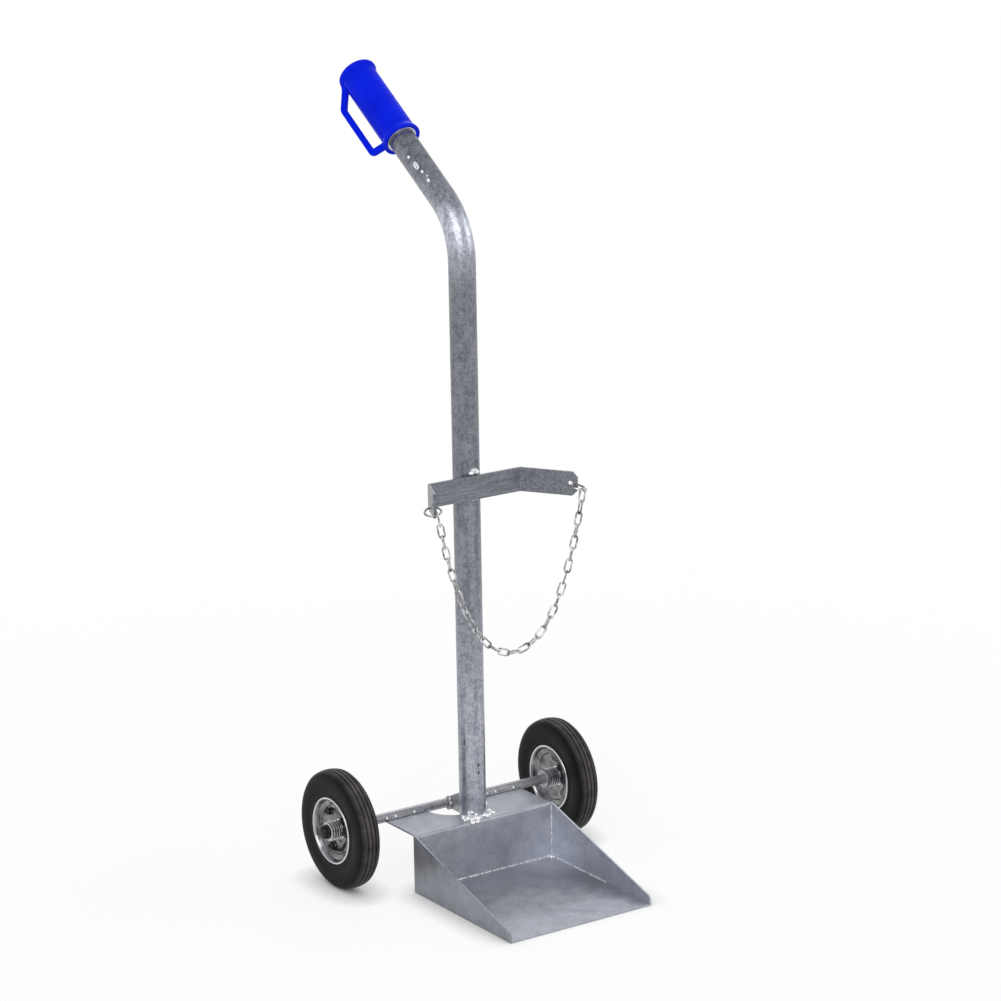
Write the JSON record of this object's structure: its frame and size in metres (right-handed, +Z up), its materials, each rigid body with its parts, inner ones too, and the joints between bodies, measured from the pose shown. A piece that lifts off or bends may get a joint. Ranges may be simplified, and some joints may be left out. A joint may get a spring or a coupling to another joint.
{
  "type": "gas cylinder cart",
  "caption": "Upright gas cylinder cart: a bent tube post with a moulded grip, a folded toe shovel, a cradle bracket with a hanging chain, and rubber wheels on an axle.",
  "frame": {"origin": "centre of the shovel's underside, on the floor the cart stands on", "axes": "+Z up along the post, -Y towards the shovel's open front edge, +X to the right seen from the front"},
  "size_m": [0.513, 0.6313, 1.3246],
  "materials": {
    "galvanised_sheet": "hot-dip galvanised, satin, mottled",
    "galvanised_tube": "hot-dip galvanised, satin, mottled",
    "galvanised_bar": "hot-dip galvanised, satin",
    "weld_metal": "galvanised weld bead, bright and lumpy",
    "chain_zinc": "bright zinc plated",
    "blue_plastic": "gloss moulded plastic, blue",
    "black_plastic": "matte black",
    "tyre_rubber": "matte black rubber",
    "rim_zinc": "bright zinc plated pressing",
    "hub_steel": "zinc plated, dull"
  },
  "bodies": {
    "frame": {"toe_plate": "galvanised_sheet", "left_side_plate": "galvanised_sheet", "right_side_plate": "galvanised_sheet", "post_tube": "galvanised_tube", "axle": "galvanised_bar", "axle_gusset": "galvanised_bar", "cradle_bracket": "galvanised_bar", "handle_grip": "blue_plastic", "post_welds": "weld_metal", "axle_welds": "weld_metal", "left_chain_ring": "chain_zinc", "right_chain_ring": "chain_zinc", "axle_stop_rings": "galvanised_bar", "axle_caps": "black_plastic"},
    "left_wheel": {"left_tyre": "tyre_rubber", "left_rim": "rim_zinc", "left_hub": "hub_steel"},
    "right_wheel": {"right_tyre": "tyre_rubber", "right_rim": "rim_zinc", "right_hub": "hub_steel"},
    "chain": {"chain_links": "chain_zinc"}
  },
  "joints": [
    {"name": "left_wheel_spin", "type": "hinge", "parent": "frame", "child": "left_wheel", "pos_m": [-0.218, 0.238, 0.1], "axis": [1, 0, 0], "continuous": true},
    {"name": "right_wheel_spin", "type": "hinge", "parent": "frame", "child": "right_wheel", "pos_m": [0.218, 0.238, 0.1], "axis": [1, 0, 0], "continuous": true},
    {"name": "chain_swing", "type": "hinge", "parent": "frame", "child": "chain", "pos_m": [0.0116, 0.06077, 0.65441], "axis": [0.9978, -0.0659, 0.0015], "range_deg": [-90, 18]}
  ]
}
